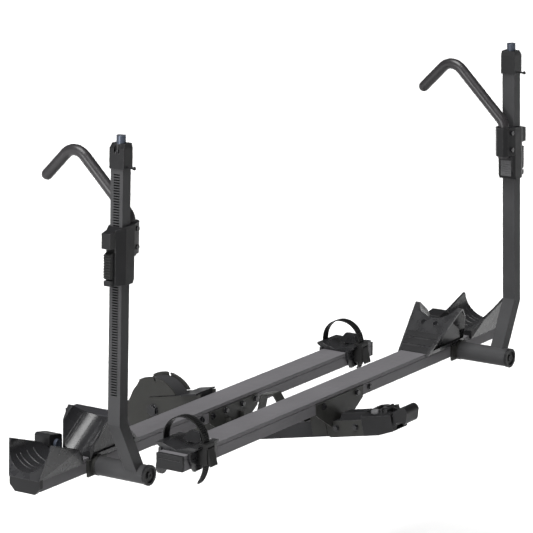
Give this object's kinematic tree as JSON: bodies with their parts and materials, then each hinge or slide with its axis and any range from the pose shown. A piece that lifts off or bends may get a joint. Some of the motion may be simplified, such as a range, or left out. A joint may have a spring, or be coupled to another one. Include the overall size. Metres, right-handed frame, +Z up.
{
  "type": "hitch mounted bike rack",
  "caption": "Platform bike rack for a square hitch receiver: folding spine, staggered wheel trays with ramps and straps, and folding arms with ratcheting wheel hooks.",
  "frame": {"origin": "centre of the hitch pin hole in the square hitch tube", "axes": "+X along the trays, the pin hole's axis; +Y towards the vehicle; +Z up, in the position of use"},
  "size_m": [1.687, 1.086, 1.0627],
  "materials": {
    "stinger_paint": "black powder coat",
    "cast_head": "dark coated casting",
    "zinc_bolt": "dark zinc plate",
    "washer_plastic": "moulded",
    "plate_paint": "satin powder coat",
    "spine_paint": "satin powder coat",
    "housing_plastic": "fine texture",
    "tray_aluminium": "dark grey coated extrusion",
    "wheel_plastic": "semi-gloss moulded",
    "arm_paint": "dark grey satin powder coat",
    "hook_coat": "soft black coating",
    "lock_metal": "bluish zinc plate",
    "lever_plastic": "moulded",
    "strap_rubber": "ladder strap"
  },
  "bodies": {
    "base": {"stinger": "stinger_paint", "pivot_head": "cast_head"},
    "rack": {"pivot_bolt": "zinc_bolt", "thrust_washers": "washer_plastic", "swing_plate_left": "plate_paint", "swing_plate_right": "plate_paint", "spine_tube": "spine_paint", "spine_web": "spine_paint", "side_plates": "plate_paint", "spine_hood": "housing_plastic", "release_housing": "housing_plastic", "handle_pin": "zinc_bolt", "latch_spring": "zinc_bolt", "tray_bracket_inner": "plate_paint", "tray_bracket_outer": "plate_paint", "cable_loop": "plate_paint", "frame_bolts": "zinc_bolt", "beam_a_left": "tray_aluminium", "beam_a_right": "tray_aluminium", "beam_b_left": "tray_aluminium", "beam_b_right": "tray_aluminium", "beam_splices": "tray_aluminium", "strap_end_caps": "housing_plastic", "holder_end_caps": "housing_plastic", "wheel_ramp_a": "wheel_plastic", "wheel_ramp_b": "wheel_plastic", "outer_cradle_a": "wheel_plastic", "outer_cradle_b": "wheel_plastic", "lock_blocks": "housing_plastic", "ramp_screws": "zinc_bolt", "spindle_a": "plate_paint", "spindle_b": "plate_paint", "spindle_caps": "housing_plastic"},
    "handle": {"tilt_handle": "housing_plastic"},
    "latch": {"pull_rod": "zinc_bolt", "latch_bar": "zinc_bolt"},
    "arm_a": {"arm_a": "arm_paint", "arm_cap_a": "housing_plastic"},
    "arm_lock_a": {"arm_lock_a": "lock_metal"},
    "slider_a": {"slider_a": "housing_plastic", "hook_a": "hook_coat", "slider_bolts_a": "zinc_bolt"},
    "release_lever_a": {"release_lever_a": "lever_plastic"},
    "strap_cradle_a": {"strap_cradle_a": "wheel_plastic", "wheel_strap_a": "strap_rubber", "buckle_a": "lever_plastic"},
    "buckle_lever_a": {"buckle_lever_a": "lever_plastic"},
    "lock_core_a": {"lock_core_a": "lock_metal"},
    "arm_b": {"arm_b": "arm_paint", "arm_cap_b": "housing_plastic"},
    "arm_lock_b": {"arm_lock_b": "lock_metal"},
    "slider_b": {"slider_b": "housing_plastic", "hook_b": "hook_coat", "slider_bolts_b": "zinc_bolt"},
    "release_lever_b": {"release_lever_b": "lever_plastic"},
    "strap_cradle_b": {"strap_cradle_b": "wheel_plastic", "wheel_strap_b": "strap_rubber", "buckle_b": "lever_plastic"},
    "buckle_lever_b": {"buckle_lever_b": "lever_plastic"},
    "lock_core_b": {"lock_core_b": "lock_metal"}
  },
  "joints": [
    {"name": "main_tilt", "type": "hinge", "parent": "base", "child": "rack", "pos_m": [0, -0.227, 0.0705], "axis": [-1, 0, 0], "range_deg": [-28, 78]},
    {"name": "handle_lift", "type": "hinge", "parent": "rack", "child": "handle", "pos_m": [0, -0.96407, 0.16944], "axis": [-1, 0, 0], "range_deg": [0, 20], "stiffness_Nm_per_rad": 3},
    {"name": "latch_pull", "type": "slide", "parent": "rack", "child": "latch", "axis": [0, -0.9799, 0.1994], "range_m": [0, 0.0085]},
    {"name": "arm_fold_a", "type": "hinge", "parent": "rack", "child": "arm_a", "pos_m": [-0.605, -0.5431, 0.105], "axis": [0, 1, 0], "range_deg": [-25, 80]},
    {"name": "arm_lock_turn_a", "type": "hinge", "parent": "arm_a", "child": "arm_lock_a", "pos_m": [-0.65149, -0.5851, 0.93935], "axis": [0.0401, 0, 0.9992], "range_deg": [0, 90]},
    {"name": "hook_height_a", "type": "slide", "parent": "arm_a", "child": "slider_a", "axis": [0.0401, 0, 0.9992], "range_m": [-0.28, 0.12]},
    {"name": "lever_release_a", "type": "hinge", "parent": "slider_a", "child": "release_lever_a", "pos_m": [-0.68895, -0.5851, 0.67964], "axis": [0, 1, 0], "range_deg": [0, 10], "stiffness_Nm_per_rad": 1.5},
    {"name": "strap_cradle_slide_a", "type": "slide", "parent": "rack", "child": "strap_cradle_a", "axis": [-1, 0, 0], "range_m": [0, 0.25]},
    {"name": "buckle_open_a", "type": "hinge", "parent": "strap_cradle_a", "child": "buckle_lever_a", "pos_m": [0.604, -0.4901, 0.138], "axis": [-1, 0, 0], "range_deg": [0, 60]},
    {"name": "cable_lock_turn_a", "type": "hinge", "parent": "rack", "child": "lock_core_a", "pos_m": [-0.662, -0.3781, 0.161], "axis": [0, -1, 0], "range_deg": [0, 90]},
    {"name": "arm_fold_b", "type": "hinge", "parent": "rack", "child": "arm_b", "pos_m": [0.605, -0.8731, 0.1785], "axis": [0, -1, 0], "range_deg": [-25, 80]},
    {"name": "arm_lock_turn_b", "type": "hinge", "parent": "arm_b", "child": "arm_lock_b", "pos_m": [0.65149, -0.9151, 1.01285], "axis": [-0.0401, 0, 0.9992], "range_deg": [0, 90]},
    {"name": "hook_height_b", "type": "slide", "parent": "arm_b", "child": "slider_b", "axis": [-0.0401, 0, 0.9992], "range_m": [-0.28, 0.12]},
    {"name": "lever_release_b", "type": "hinge", "parent": "slider_b", "child": "release_lever_b", "pos_m": [0.68921, -0.9151, 0.74665], "axis": [0, -1, 0], "range_deg": [0, 10], "stiffness_Nm_per_rad": 1.5},
    {"name": "strap_cradle_slide_b", "type": "slide", "parent": "rack", "child": "strap_cradle_b", "axis": [1, 0, 0], "range_m": [0, 0.25]},
    {"name": "buckle_open_b", "type": "hinge", "parent": "strap_cradle_b", "child": "buckle_lever_b", "pos_m": [-0.63, -0.8201, 0.2115], "axis": [-1, 0, 0], "range_deg": [0, 60]},
    {"name": "cable_lock_turn_b", "type": "hinge", "parent": "rack", "child": "lock_core_b", "pos_m": [0.662, -0.7081, 0.2345], "axis": [0, -1, 0], "range_deg": [0, 90]}
  ],
  "couplings": [
    {"joint": "latch_pull", "follows": "handle_lift", "m_per_rad": 0.024}
  ]
}
